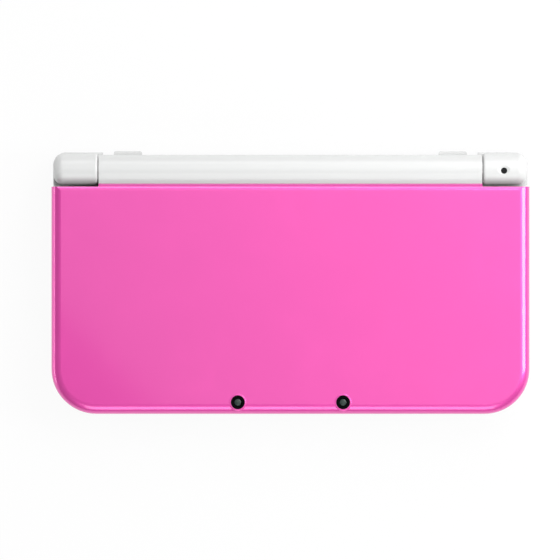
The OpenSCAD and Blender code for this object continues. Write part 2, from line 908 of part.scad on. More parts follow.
module start_button() {
    color("White")
        round_key(ctl_x, start_y, small_r, base_h + key_up / 2);
}

module select_button() {
    color("White")
        round_key(ctl_x, select_y, small_r, base_h + key_up / 2);
}

module nub_pivot() {
    color("Silver")
        translate([nub_x, nub_y, nub_ball_z])
            sphere(r = ball_r);
}

module nub() {
    color("LightGray")
        translate([nub_x, nub_y, 0])
            difference() {
                union() {
                    translate([0, 0, flange_z0])
                        rotate_extrude()
                            edge_profile(nub_r, key_top - flange_z0, 0.9);
                    rod([0, 0], nub_r + 0.7, flange_z0, flange_z0 + 0.35);
                }
                translate([0, 0, nub_ball_z])
                    sphere(r = ball_r + pin_fit);
            }
}

module home_button() {
    color("White")
        union() {
            translate([0, home_y, flange_z0])
                linear_extrude(height = 0.7)
                    pill(home_w + 1.6, home_d + 1.6);
            translate([0, home_y, flange_z0])
                linear_extrude(height = base_h + 0.3 - flange_z0)
                    pill(home_w, home_d);
        }
}

module power_button() {
    color("LightGray")
        union() {
            pill_y(power_x, port_z, 8, 2.6, base_front - 0.25, base_front + case_t + 0.9);
            pill_y(power_x, port_z, 9.6, 3.9, base_front + case_t + 0.05, base_front + case_t + 0.9);
        }
}

// Stylus with a flat thumb step at its outer end and a rounded tip
module stylus() {
    color("LightGray")
        translate([stylus_x, base_front + 0.05, port_z])
            difference() {
                rotate([-90, 0, 0]) {
                    cylinder(r = stylus_r, h = stylus_len - stylus_r);
                    translate([0, 0, stylus_len - stylus_r])
                        sphere(r = stylus_r);
                }
                translate([-3, 0.8, stylus_r - 0.35])
                    cube([6, 4.5, 2]);
            }
}

// Outer trigger, drawn on the right: a bar that wraps round the back corner
module outer_trigger() {
    x1 = base_hw - 0.1;
    r = 4;
    difference() {
        translate([0, 0, trig_z0])
            linear_extrude(height = trig_z1 - trig_z0)
                difference() {
                    union() {
                        translate([outer_x, outer_trig_y - 4.4])
                            square([x1 - r - outer_x, 4.4]);
                        translate([x1 - r, outer_trig_y - r])
                            circle(r = r);
                        translate([x1 - 2.8, base_back - 6.1])
                            square([2.8, outer_trig_y - r - base_back + 6.1]);
                    }
                    translate([x1 - 2.8 - 12, outer_trig_y - 4.4 - 6])
                        square([12, 6]);
                }
        rod(outer_pin, trig_pin_r + pin_fit, 0, base_h);
        trigger_edges(outer_trig_y);
    }
}

// Slopes the two long outer edges of a trigger
module trigger_edges(y) {
    for (z = [trig_z0, trig_z1])
        translate([inner_x0 - 5, y, z])
            rotate([45, 0, 0])
                translate([0, -0.45, -0.45])
                    cube([hw, 0.9, 0.9]);
}

module inner_trigger() {
    difference() {
        translate([inner_x0, base_back - 4.1, trig_z0])
            linear_extrude(height = trig_z1 - trig_z0) {
                square([inner_x1 - inner_x0, trigger_out + 3.3]);
                translate([0.8, 0])
                    square([inner_x1 - inner_x0 - 1.6, trigger_out + 4.1]);
                for (x = [0.8, inner_x1 - inner_x0 - 0.8])
                    translate([x, trigger_out + 3.3])
                        circle(r = 0.8);
            }
        rod(inner_pin, trig_pin_r + pin_fit, 0, base_h);
        trigger_edges(back_y);
    }
}

module trigger_r() {
    color("White")
        outer_trigger();
}

module trigger_l() {
    color("White")
        mirror([1, 0, 0])
            outer_trigger();
}

module trigger_zr() {
    color("White")
        inner_trigger();
}

module trigger_zl() {
    color("White")
        mirror([1, 0, 0])
            inner_trigger();
}

// ---------- Lid ----------

// Room for the end caps at the lid's two back corners
module lid_notches(inset) {
    for (s = [0, 1])
        mirror([s, 0, 0])
            block([barrel_x - inset, lid_notch - inset, 0], [hw + 1, back_y, lid_z1 + 1]);
}

module lid_posts(z0, z1, r) {
    for (p = lid_screw_at)
        rod(p, r, z0, z1);
}

// One-piece outer cover: the same rolled edge runs round the inside and outside
module lid_cover() {
    roof = lid_z1 - shell_t;
    color("HotPink")
        difference() {
            union() {
                difference() {
                    translate([0, 0, shell_z0])
                        soft_plate(hw, front_y, lid_back, corner_r, 0, lid_z1 - shell_z0, rim_r);
                    difference() {
                        translate([0, 0, shell_z0 - 1])
                            soft_plate(hw - shell_t, front_y + shell_t, lid_back - shell_t, corner_r - shell_t, 0,
                                       roof - shell_z0 + 1, rim_r - shell_t);
                        lid_notches(shell_t);
                    }
                }
                lid_posts(shell_z0 - 0.4, roof + 0.3, 2);
                // Flat boss that carries each camera out of the rolled front edge
                for (x = [-1, 1])
                    translate([x * camera_x, camera_y, roof - 1.2])
                        rotate_extrude()
                            edge_profile(camera_r + boss_w, lid_z1 + 0.06 - roof + 1.2, 0.35);
            }
            lid_notches(0);
            lid_posts(0, roof - 1.5, 0.8);
            // Rolled back edge along the barrel
            translate([-hw - 1, lid_back - back_roll, lid_z1 - back_roll])
                rotate([90, 0, 90])
                    linear_extrude(height = body_w + 2)
                        difference() {
                            square(back_roll + 1);
                            circle(r = back_roll);
                        }
            for (x = [-1, 1])
                rod([x * camera_x, camera_y], camera_r + 0.05, roof - 2, lid_z1 + 1);
        }
}

// Flat slope that carries the barrel's top down to the cover's back wall
module barrel_fairing() {
    r = barrel_r - 0.02;
    top_y = hinge_y - r * sin(fair_angle);
    top_z = hinge_z + r * cos(fair_angle);
    translate([-barrel_x, 0, 0])
        rotate([90, 0, 90])
            linear_extrude(height = 2 * barrel_x)
                polygon([[lid_back, shell_z0 - 0.3], [lid_back, top_z - (top_y - lid_back) * tan(fair_angle)],
                         [top_y, top_z], [hinge_y, hinge_z]]);
}

module lid_frame() {
    color("White")
        difference() {
            union() {
                difference() {
                    translate([0, 0, shell_z0])
                        mirror([0, 0, 1])
                            soft_plate(hw, front_y, lid_back, corner_r, 0, frame_h, 0.7);
                    difference() {
                        translate([0, 0, plate_z1])
                            linear_extrude(height = 3)
                                plan(hw - shell_t - 0.3, front_y + shell_t + 0.3, lid_back - shell_t - 0.3,
                                     corner_r - shell_t - 0.3, 0);
                        lid_notches(shell_t + 0.3);
                    }
                }
                rod_x(-barrel_x, barrel_x, barrel_r);
                barrel_fairing();
                // Web between the frame and the barrel
                block([-barrel_x, lid_back - 1, lid_z0 + 0.2], [barrel_x, hinge_y - barrel_r + 1.6, shell_z0 - 0.3]);
                lid_posts(lid_z0 + 0.8, shell_z0 - 0.4, 2.6);
            }
            lid_notches(0);
            rod_x(-barrel_x - 1, -pin_x0 + 4, bore_r);
            rod_x(pin_x0 - 2, barrel_x + 1, tube_pin_r + pin_fit);
            // Recess for the screen glass, and the picture opening behind it
            block([-glass_x, glass_y0, lid_z0 - 1], [glass_x, glass_y1, lid_z0 + glass_t + 0.05]);
            block([-up_w / 2 - 1, up_y - up_h / 2 - 0.6, lid_z0 - 1], [up_w / 2 + 1, up_y + up_h / 2 + 0.6, shell_z0]);
            rod([0, glass_y0 + 2.9], 2.05, lid_z0, shell_z0);
            // Five sound slots at each side
            for (s = [-1, 1])
                for (i = [-2:2])
                    translate([s * speaker_x, speaker_y + i * 3, lid_z0 - 1])
                        linear_extrude(height = 4)
                            pill(7, 1.1);
            for (p = lid_screw_at) {
                rod(p, lid_pad_r + 0.05, lid_z0 - 1, lid_z0 + 0.4);
                rod(p, 1.65, lid_z0 - 1, lid_z0 + 1.25);
                rod(p, 0.8, lid_z0 - 1, shell_z0 + 1);
            }
            // Pockets and slots of the two side sliders
            for (s = [0, 1])
                mirror([s, 0, 0]) {
                    block([hw - 4.4, slider_y - 9, lid_z0 + 0.5], [hw - 1.3, slider_y + 9, shell_z0 + 1]);
                    block([hw - 2, slider_y - 6.2, lid_z0 + 0.7], [hw + 1, slider_y + 6.2, lid_z0 + 2.1]);
                }
        }
}

module upper_glass() {
    color("Black")
        block([-glass_x + 0.1, glass_y0 + 0.1, lid_z0 + 0.05], [glass_x - 0.1, glass_y1 - 0.1, lid_z0 + glass_t + 0.05]);
}

module upper_display() {
    color("DimGray")
        block([-up_w / 2 - 3, up_y - up_h / 2 - 1.1, plate_z1], [up_w / 2 + 3, up_y + up_h / 2 + 1.1, plate_z1 + 2.6]);
}

// Two black rings in the lid's outer face
module outer_cameras() {
    color("Black")
        for (x = [-1, 1])
            difference() {
                rod([x * camera_x, camera_y], camera_r, lid_z1 - 4.6, lid_z1 - 0.1);
                translate([x * camera_x, camera_y, lid_z1 - 1])
                    cylinder(r1 = camera_r * 0.5, r2 = camera_r * 0.72, h = 1);
            }
}

module camera_lenses() {
    color("DarkSlateGray")
        for (x = [-1, 1])
            translate([x * camera_x, camera_y, lid_z1 - 1])
                intersection() {
                    cylinder(r = camera_r * 0.5, h = 1);
                    translate([0, 0, 0.35 - 4])
                        sphere(r = 4);
                }
}

module inner_camera() {
    color("Black")
        rod([0, glass_y0 + 2.9], 1.95, lid_z0 + glass_t + 0.05, lid_z0 + glass_t + 3);
}

// Flat capsule loudspeakers behind the sound slots
module speakers() {
    color("DimGray")
        for (s = [-1, 1])
            translate([s * speaker_x, speaker_y, plate_z1])
                union() {
                    linear_extrude(height = 2.6)
                        rotate([0, 0, 90])
                            pill(22, 10.5);
                    translate([0, 0, 2.6])
                        cylinder(r = 4, h = 0.8);
                }
}

module hinge_clutch() {
    color("Silver")
        difference() {
            rod_x(-barrel_x, -pin_x0 + 3.5, bore_r);
            rod_x(-barrel_x - 1, -pin_x0 + 0.5, clutch_pin_r + pin_fit);
        }
}

module lid_pads() {
    color("Gray")
        for (p = lid_screw_at)
            rod(p, lid_pad_r, base_h + 0.05, lid_z0 + 0.4);
}

module lid_screws() {
    color("Silver")
        for (p = lid_screw_at)
            screw(p, 1.6, 0.7, 0.8, lid_z0 + 0.55, lid_z1 - shell_t - 1.6);
}

// Slider knob with a guide plate behind the side wall, drawn on the right
module side_slider() {
    block([hw - 2.2, slider_y - 2.6, lid_z0 + 0.85], [hw - 0.1, slider_y + 2.6, lid_z0 + 1.95]);
    block([hw - 3.2, slider_y - 4.3, lid_z0 + 0.55], [hw - 2.1, slider_y + 4.3, shell_z0 - 0.1]);
}

module depth_slider() {
    color("LightGray")
        side_slider();
}

module volume_slider() {
    color("LightGray")
        mirror([1, 0, 0])
            side_slider();
}

rear_cover();
lower_case();
case_floor();
deck();
hinge_cap_left();
hinge_cap_right();
hinge_pin_left();
hinge_pin_right();
battery();
main_board();
button_boards();
front_board();
card_slot();
microsd_slot();
headphone_jack();
charge_port();
ir_window();
status_lights();
notification_light();
lower_display();
touch_panel();
key_mats();
pad_housing();
shoulder_switches();
trigger_pins();
case_screws();
cover_screws();
pad_carriage();
pad_skirt();
slide_pad();
dpad_pivot();
dpad();
button_a();
button_b();
button_x();
button_y();
nub_pivot();
nub();
start_button();
select_button();
home_button();
power_button();
stylus();
trigger_l();
trigger_r();
trigger_zl();
trigger_zr();
lid_cover();
lid_frame();
upper_glass();
upper_display();
outer_cameras();
camera_lenses();
inner_camera();
speakers();
hinge_clutch();
lid_pads();
lid_screws();
volume_slider();
depth_slider();
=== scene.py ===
"""Closed clamshell game console: glossy pink lid and back cover, white housing and hinge.

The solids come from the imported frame; this script gives them their finishes, adds the
small pieces that the solids leave out, and sets up the studio and the camera.
Sizes are in millimetres in the text and in metres where Blender takes them.
"""
import json
import math

import bmesh
import bpy
from mathutils import Matrix, Vector


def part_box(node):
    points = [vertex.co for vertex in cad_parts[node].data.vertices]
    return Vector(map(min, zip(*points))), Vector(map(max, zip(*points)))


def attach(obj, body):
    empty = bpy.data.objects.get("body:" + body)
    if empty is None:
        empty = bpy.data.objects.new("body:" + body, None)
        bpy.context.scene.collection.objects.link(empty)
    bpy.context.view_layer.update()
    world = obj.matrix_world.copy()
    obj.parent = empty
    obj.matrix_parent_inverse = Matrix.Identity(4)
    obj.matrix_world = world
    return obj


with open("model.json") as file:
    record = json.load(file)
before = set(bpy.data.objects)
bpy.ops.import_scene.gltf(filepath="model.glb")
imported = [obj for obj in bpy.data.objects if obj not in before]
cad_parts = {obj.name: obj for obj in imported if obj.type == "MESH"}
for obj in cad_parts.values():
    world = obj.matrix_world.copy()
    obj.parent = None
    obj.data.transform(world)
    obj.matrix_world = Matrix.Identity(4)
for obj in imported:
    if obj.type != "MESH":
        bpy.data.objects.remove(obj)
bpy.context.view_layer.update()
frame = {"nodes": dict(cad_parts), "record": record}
SOLIDS = frame["nodes"]

MM = 0.001

# ---------- Camera and picture ----------
PIXELS_PER_MM = 2.9884
PICTURE_PIXELS = 560
LENS_MM = 600.0
SENSOR_MM = 36.0
# The picture's scale holds where the lid is widest, one rim radius under its top
RIM_RADIUS = 0.0033
# Pixel of the picture on which the console's own centre line and mid depth fall
CENTRE_PIXEL = (290.42, 282.34)

# ---------- Studio levels ----------
FLOOR_WHITE = 0.93
FLOOR_DARK = (0.80, 0.80, 0.80)
FLOOR_LIGHT = (0.84, 0.84, 0.84)
FLOOR_SPECK_SCALE = 900.0
FLOOR_HALF = 3.0
WORLD_LEVEL = 0.20

# ---------- Colours, linear ----------
PINK = (0.85, 0.074, 0.437)
PINK_WORN = (0.88, 0.14, 0.50)
# What the pink throws on the white beside it, which the photograph shows as grey
PINK_BOUNCE = (0.42, 0.45, 0.44)
WHITE = (0.68, 0.685, 0.682)
WHITE_WORN = (0.70, 0.70, 0.70)
WHITE_SOFT = (0.63, 0.635, 0.632)
KEY_GREY = (0.66, 0.67, 0.69)
PAD_GREY = (0.36, 0.37, 0.39)
MID_GREY = (0.30, 0.31, 0.32)
DARK_GREY = (0.035, 0.036, 0.040)
BLACK = (0.0015, 0.0015, 0.002)
RUBBER_GREY = (0.42, 0.42, 0.43)
STEEL = (0.56, 0.565, 0.57)
SHEET = (0.68, 0.68, 0.67)
GOLD = (0.85, 0.62, 0.25)
BOARD_GREEN = (0.015, 0.11, 0.055)
BOARD_TRACK = (0.03, 0.20, 0.09)
CELL_WRAP = (0.05, 0.055, 0.06)
INFRARED = (0.035, 0.002, 0.004)
LENS_GREEN = (0.030, 0.048, 0.042)
SMOKE = (0.008, 0.008, 0.009)
CLEAR_PIPE = (0.80, 0.82, 0.80)
SCREEN_BLACK = (0.006, 0.006, 0.007)


# ---------- Shader group helpers ----------

def new_group(name, inputs, outputs):
    """An empty shader group with named sockets, and its two end nodes."""
    group = bpy.data.node_groups.new(name, "ShaderNodeTree")
    for label, kind, value in inputs:
        socket = group.interface.new_socket(name=label, in_out="INPUT", socket_type=kind)
        if value is not None:
            socket.default_value = value
    for label, kind in outputs:
        group.interface.new_socket(name=label, in_out="OUTPUT", socket_type=kind)
    start = group.nodes.new("NodeGroupInput")
    end = group.nodes.new("NodeGroupOutput")
    return group, start, end


FLOAT = "NodeSocketFloat"
COLOUR = "NodeSocketColor"


class Wiring:
    """Adds and joins nodes in one node tree."""

    def __init__(self, tree):
        self.tree = tree

    def join(self, source, target):
        self.tree.links.new(source, target)

    def add(self, kind, **settings):
        node = self.tree.nodes.new(kind)
        for key, value in settings.items():
            setattr(node, key, value)
        return node

    def feed(self, socket, value):
        if isinstance(value, bpy.types.NodeSocket):
            self.join(value, socket)
        elif isinstance(value, (tuple, list)) and len(value) == 3 and socket.type == "RGBA":
            socket.default_value = (*value, 1.0)
        else:
            socket.default_value = value

    def place(self):
        """The point's place on its own piece, in metres."""
        return self.add("ShaderNodeTexCoord").outputs["Object"]

    def math(self, operation, a, b=0.0):
        node = self.add("ShaderNodeMath", operation=operation)
        for socket, value in zip(node.inputs, (a, b)):
            self.feed(socket, value)
        return node.outputs[0]

    def noise(self, where, scale, detail=2.0, roughness=0.5, distortion=0.0):
        node = self.add("ShaderNodeTexNoise")
        self.feed(node.inputs["Vector"], where)
        self.feed(node.inputs["Scale"], scale)
        self.feed(node.inputs["Detail"], detail)
        self.feed(node.inputs["Roughness"], roughness)
        self.feed(node.inputs["Distortion"], distortion)
        return node.outputs["Fac"]

    def stretch(self, where, factors):
        node = self.add("ShaderNodeVectorMath", operation="MULTIPLY")
        self.feed(node.inputs[0], where)
        node.inputs[1].default_value = factors
        return node.outputs[0]

    def ramp(self, value, low, high, to_low=0.0, to_high=1.0):
        node = self.add("ShaderNodeMapRange", interpolation_type="SMOOTHSTEP")
        for socket, item in zip(node.inputs, (value, low, high, to_low, to_high)):
            self.feed(socket, item)
        return node.outputs["Result"]

    def blend(self, factor, a, b):
        node = self.add("ShaderNodeMix", data_type="RGBA")
        self.feed(node.inputs["Factor"], factor)
        self.feed(node.inputs["A"], a)
        self.feed(node.inputs["B"], b)
        return node.outputs["Result"]

    def use(self, group, **values):
        """One of the shared groups, with its inputs set by name."""
        node = self.add("ShaderNodeGroup")
        node.node_tree = group
        for label, value in values.items():
            self.feed(node.inputs[label.replace("_", " ")], value)
        return node.outputs


# ---------- Shared effects ----------

def build_moulded_grain():
    """Fine spark-eroded grain of a moulding tool, for matt plastic and rubber."""
    group, start, end = new_group(
        "Moulded Grain", [("Grain Scale", FLOAT, 4200.0), ("Coarseness", FLOAT, 0.5)],
        [("Height", FLOAT), ("Tone", FLOAT)])
    w = Wiring(group)
    where = w.place()
    fine = w.noise(where, start.outputs["Grain Scale"], 3.0, 0.65)
    pits = w.add("ShaderNodeTexVoronoi", feature="SMOOTH_F1")
    w.feed(pits.inputs["Vector"], where)
    w.feed(pits.inputs["Scale"], w.math("MULTIPLY", start.outputs["Grain Scale"], 0.55))
    pits.inputs["Smoothness"].default_value = 0.4
    fine_share = w.math("SUBTRACT", 1.0, start.outputs["Coarseness"])
    mixed = w.math("ADD", w.math("MULTIPLY", fine, fine_share),
                   w.math("MULTIPLY", pits.outputs["Distance"], start.outputs["Coarseness"]))
    w.join(mixed, end.inputs["Height"])
    w.join(w.ramp(mixed, 0.25, 0.75), end.inputs["Tone"])
    return group


def build_gloss_flow():
    """The long, shallow waves that the tool and the polish leave in a glossy moulding."""
    group, start, end = new_group(
        "Gloss Flow", [("Wave Scale", FLOAT, 160.0), ("Ripple Scale", FLOAT, 900.0)],
        [("Height", FLOAT)])
    w = Wiring(group)
    where = w.place()
    wave = w.noise(where, start.outputs["Wave Scale"], 1.0, 0.4)
    ripple = w.noise(where, start.outputs["Ripple Scale"], 1.5, 0.5)
    height = w.math("ADD", w.math("MULTIPLY", wave, 0.8), w.math("MULTIPLY", ripple, 0.2))
    w.join(height, end.inputs["Height"])
    return group


def build_handling_marks():
    """Faint smears from fingers, and hairline scratches in two directions."""
    group, start, end = new_group(
        "Handling Marks", [("Smear Scale", FLOAT, 55.0), ("Scratch Scale", FLOAT, 1400.0)],
        [("Smears", FLOAT), ("Scratches", FLOAT)])
    w = Wiring(group)
    where = w.place()
    smear = w.noise(where, start.outputs["Smear Scale"], 4.0, 0.6, 1.4)
    w.join(w.ramp(smear, 0.42, 0.74), end.inputs["Smears"])
    lines = []
    for turn, squeeze in ((0.6, (1.0, 0.012, 1.0)), (2.1, (1.0, 0.02, 1.0))):
        spin = w.add("ShaderNodeVectorRotate", rotation_type="Z_AXIS")
        w.feed(spin.inputs["Vector"], where)
        spin.inputs["Angle"].default_value = turn
        grain = w.noise(w.stretch(spin.outputs["Vector"], squeeze), start.outputs["Scratch Scale"], 0.0)
        lines.append(w.ramp(grain, 0.80, 0.86))
    w.join(w.math("MAXIMUM", lines[0], lines[1]), end.inputs["Scratches"])
    return group


def build_edge_wear():
    """Where hands and pockets rub: the outer edges, broken up by noise."""
    group, start, end = new_group(
        "Edge Wear", [("Edge Width", FLOAT, 0.0005), ("Patch Scale", FLOAT, 260.0), ("Reach", FLOAT, 0.5)],
        [("Wear", FLOAT)])
    w = Wiring(group)
    rounded = w.add("ShaderNodeBevel", samples=4)
    w.feed(rounded.inputs["Radius"], start.outputs["Edge Width"])
    flat = w.add("ShaderNodeNewGeometry")
    turn = w.add("ShaderNodeVectorMath", operation="DOT_PRODUCT")
    w.join(rounded.outputs["Normal"], turn.inputs[0])
    w.join(flat.outputs["Normal"], turn.inputs[1])
    edge = w.ramp(turn.outputs["Value"], 0.995, 0.86)
    patches = w.noise(w.place(), start.outputs["Patch Scale"], 3.0, 0.6)
    low = w.math("SUBTRACT", 0.75, w.math("MULTIPLY", start.outputs["Reach"], 0.5))
    w.join(w.math("MULTIPLY", edge, w.ramp(patches, low, w.math("ADD", low, 0.2))), end.inputs["Wear"])
    return group


def build_colour_drift():
    """Slow drift of a moulding's colour, in a lighter and a deeper direction."""
    group, start, end = new_group(
        "Colour Drift", [("Colour", COLOUR, None), ("Drift Scale", FLOAT, 22.0), ("Amount", FLOAT, 0.05)],
        [("Colour", COLOUR)])
    w = Wiring(group)
    slow = w.noise(w.place(), start.outputs["Drift Scale"], 3.0, 0.55)
    swing = w.math("MULTIPLY", start.outputs["Amount"], 2.0)
    value = w.math("ADD", 1.0, w.math("MULTIPLY", w.math("SUBTRACT", slow, 0.5), swing))
    tint = w.add("ShaderNodeHueSaturation")
    w.join(start.outputs["Colour"], tint.inputs["Color"])
    w.join(value, tint.inputs["Value"])
    w.join(tint.outputs["Color"], end.inputs["Colour"])
    return group


def build_dust_and_shade():
    """Fine dust and painted shade in the corners of the housing: an occlusion mask of corners and seams,
    broken into specks.
    """
    group, start, end = new_group(
        "Corner Dust And Shade", [("Corner Width", FLOAT, 0.0016), ("Speck Scale", FLOAT, 1500.0)],
        [("Dust And Shade", FLOAT), ("Shade", FLOAT)])
    w = Wiring(group)
    corner = w.add("ShaderNodeAmbientOcclusion", samples=6, only_local=True)
    w.feed(corner.inputs["Distance"], start.outputs["Corner Width"])
    # Painted shade: the occlusion of corners and seams becomes a colour mask, which also places the dust.
    inner = w.ramp(corner.outputs["AO"], 0.85, 0.35)
    specks = w.ramp(w.noise(w.place(), start.outputs["Speck Scale"], 2.0), 0.5, 0.72)
    w.join(w.math("MULTIPLY", inner, specks), end.inputs["Dust And Shade"])
    w.join(inner, end.inputs["Shade"])
    return group


def build_brushed():
    """Straight lines of drawn or brushed metal, along the piece's length."""
    group, start, end = new_group(
        "Brushed Lines", [("Line Scale", FLOAT, 2600.0), ("Stain Scale", FLOAT, 120.0)],
        [("Lines", FLOAT), ("Stains", FLOAT)])
    w = Wiring(group)
    where = w.place()
    lines = w.noise(w.stretch(where, (0.02, 1.0, 1.0)), start.outputs["Line Scale"], 4.0, 0.6)
    w.join(lines, end.inputs["Lines"])
    w.join(w.ramp(w.noise(where, start.outputs["Stain Scale"], 3.0), 0.35, 0.7), end.inputs["Stains"])
    return group


def build_board_tracks():
    """Copper tracks and pads under the green mask of a circuit board."""
    group, start, end = new_group(
        "Board Tracks", [("Track Scale", FLOAT, 700.0)], [("Tracks", FLOAT), ("Pads", FLOAT)])
    w = Wiring(group)
    where = w.place()
    cells = w.add("ShaderNodeTexVoronoi", feature="F1", distance="CHEBYCHEV")
    w.feed(cells.inputs["Vector"], where)
    w.feed(cells.inputs["Scale"], start.outputs["Track Scale"])
    rings = w.math("FRACT", w.math("MULTIPLY", cells.outputs["Distance"], 5.0))
    w.join(w.ramp(rings, 0.45, 0.55), end.inputs["Tracks"])
    dots = w.add("ShaderNodeTexVoronoi", feature="F1")
    w.feed(dots.inputs["Vector"], where)
    w.feed(dots.inputs["Scale"], w.math("MULTIPLY", start.outputs["Track Scale"], 0.8))
    w.join(w.ramp(dots.outputs["Distance"], 0.16, 0.12), end.inputs["Pads"])
    return group


GRAIN = build_moulded_grain()
FLOW = build_gloss_flow()
HANDLING = build_handling_marks()
EDGE = build_edge_wear()
DRIFT = build_colour_drift()
DUST_AND_SHADE = build_dust_and_shade()
BRUSHED = build_brushed()
TRACKS = build_board_tracks()


# ---------- Materials ----------

COAT_ROUGHNESS = 0.07
SMEAR_TINT = (0.10, 0.10, 0.11)
# Edge of one cell of the screens' pixel grid, and the dark line between two cells
CELL = 0.00022
CELL_LINE = 0.00004


def new_material(name):
    """A material with one Principled shader, and the wiring of its tree."""
    material = bpy.data.materials.new(name)
    material.use_nodes = True
    tree = material.node_tree
    tree.nodes.clear()
    w = Wiring(tree)
    shader = w.add("ShaderNodeBsdfPrincipled")
    output = w.add("ShaderNodeOutputMaterial")
    w.join(shader.outputs["BSDF"], output.inputs["Surface"])
    return material, w, shader.inputs


def bump(w, sockets, height, distance, strength=1.0):
    node = w.add("ShaderNodeBump")
    w.feed(node.inputs["Height"], height)
    node.inputs["Distance"].default_value = distance
    node.inputs["Strength"].default_value = strength
    w.join(node.outputs["Normal"], sockets["Normal"])


def gloss_plastic(name, colour, worn, roughness=0.2, coat=0.5, drift=0.02, wear=0.35,
                  dust_and_shade_colour=(0.62, 0.60, 0.58), shine=0.5, pearl=0.0, bounce=None):
    """Polished moulding: clear gloss over a slightly drifting colour, with rubbed edges and fine marks.

    pearl is the metallic share of the paint, and bounce the colour that it throws on its neighbours.
    """
    material, w, sockets = new_material(name)
    marks = w.use(HANDLING)
    rub = w.use(EDGE, Edge_Width=0.0004)
    corners = w.use(DUST_AND_SHADE, Corner_Width=0.0012)
    base = w.use(DRIFT, Colour=(*colour, 1.0), Amount=drift)["Colour"]
    base = w.blend(w.math("MULTIPLY", rub["Wear"], wear), base, worn)
    # Corner dust and painted shade: the occlusion mask moves the colour towards grey in corners and seams,
    # which darkens the white mouldings.
    base = w.blend(w.math("MULTIPLY", corners["Dust And Shade"], 0.25), base, dust_and_shade_colour)
    if bounce:
        path = w.add("ShaderNodeLightPath")
        base = w.blend(path.outputs["Is Diffuse Ray"], base, bounce)
    w.join(base, sockets["Base Color"])
    rough = w.math("ADD", roughness, w.math("MULTIPLY", marks["Smears"], 0.07))
    rough = w.math("ADD", rough, w.math("MULTIPLY", marks["Scratches"], 0.05))
    rough = w.math("ADD", rough, w.math("MULTIPLY", rub["Wear"], 0.10))
    w.join(rough, sockets["Roughness"])
    sockets["Specular IOR Level"].default_value = shine
    sockets["Metallic"].default_value = pearl
    sockets["Coat Weight"].default_value = coat
    sockets["Coat Roughness"].default_value = COAT_ROUGHNESS
    height = w.math("SUBTRACT", w.use(FLOW)["Height"], w.math("MULTIPLY", marks["Scratches"], 0.01))
    bump(w, sockets, height, 0.00004)
    return material


def matt_plastic(name, colour, worn, roughness=0.5, grain=4200.0, depth=0.00004, drift=0.03, coarse=0.5,
                 wear=0.4, dust_and_shade_share=0.3, dust_and_shade_colour=(0.60, 0.58, 0.56)):
    """Grained moulding: soft sheen, tone and roughness follow the grain, edges rubbed smoother."""
    material, w, sockets = new_material(name)
    texture = w.use(GRAIN, Grain_Scale=grain, Coarseness=coarse)
    rub = w.use(EDGE, Edge_Width=0.0005)
    marks = w.use(HANDLING, Smear_Scale=70.0)
    corners = w.use(DUST_AND_SHADE)
    base = w.use(DRIFT, Colour=(*colour, 1.0), Amount=drift)["Colour"]
    base = w.blend(w.math("MULTIPLY", texture["Tone"], 0.10), base, tuple(c * 0.86 for c in colour))
    base = w.blend(w.math("MULTIPLY", rub["Wear"], wear), base, worn)
    # Corner dust and painted shade: the occlusion mask moves the colour towards grey in corners and seams,
    # which darkens the light mouldings.
    base = w.blend(w.math("MULTIPLY", corners["Dust And Shade"], dust_and_shade_share), base, dust_and_shade_colour)
    w.join(base, sockets["Base Color"])
    rough = w.math("ADD", roughness, w.math("MULTIPLY", texture["Tone"], 0.08))
    rough = w.math("SUBTRACT", rough, w.math("MULTIPLY", rub["Wear"], 0.14))
    rough = w.math("SUBTRACT", rough, w.math("MULTIPLY", marks["Smears"], 0.05))
    w.join(rough, sockets["Roughness"])
    bump(w, sockets, texture["Height"], depth)
    return material


def metal(name, colour, roughness=0.26, lines=2600.0, stain=(0.36, 0.34, 0.31)):
    """Drawn or rolled metal with fine lines, dull patches and brighter rubbed edges."""
    material, w, sockets = new_material(name)
    drawn = w.use(BRUSHED, Line_Scale=lines)
    rub = w.use(EDGE, Edge_Width=0.0002, Reach=0.8)
    base = w.use(DRIFT, Colour=(*colour, 1.0), Amount=0.06, Drift_Scale=90.0)["Colour"]
    base = w.blend(w.math("MULTIPLY", drawn["Stains"], 0.22), base, stain)
    base = w.blend(w.math("MULTIPLY", rub["Wear"], 0.5), base, tuple(min(1.0, c * 1.3) for c in colour))
    w.join(base, sockets["Base Color"])
    sockets["Metallic"].default_value = 1.0
    rough = w.math("ADD", roughness, w.math("MULTIPLY", drawn["Lines"], 0.14))
    w.join(w.math("ADD", rough, w.math("MULTIPLY", drawn["Stains"], 0.10)), sockets["Roughness"])
    bump(w, sockets, drawn["Lines"], 0.000012)
    return material


def screen_glass(name, colour, roughness=0.05):
    """Black panel under hard glass, with faint smears and the odd hairline."""
    material, w, sockets = new_material(name)
    marks = w.use(HANDLING, Smear_Scale=38.0, Scratch_Scale=1200.0)
    base = w.use(DRIFT, Colour=(*colour, 1.0), Amount=0.10)["Colour"]
    smeared = w.blend(w.math("MULTIPLY", marks["Smears"], 0.05), base, SMEAR_TINT)
    w.join(smeared, sockets["Base Color"])
    dulled = w.math("ADD", w.math("MULTIPLY", marks["Smears"], 0.09),
                    w.math("MULTIPLY", marks["Scratches"], 0.10))
    w.join(w.math("ADD", roughness, dulled), sockets["Roughness"])
    bump(w, sockets, marks["Scratches"], 0.000002)
    return material


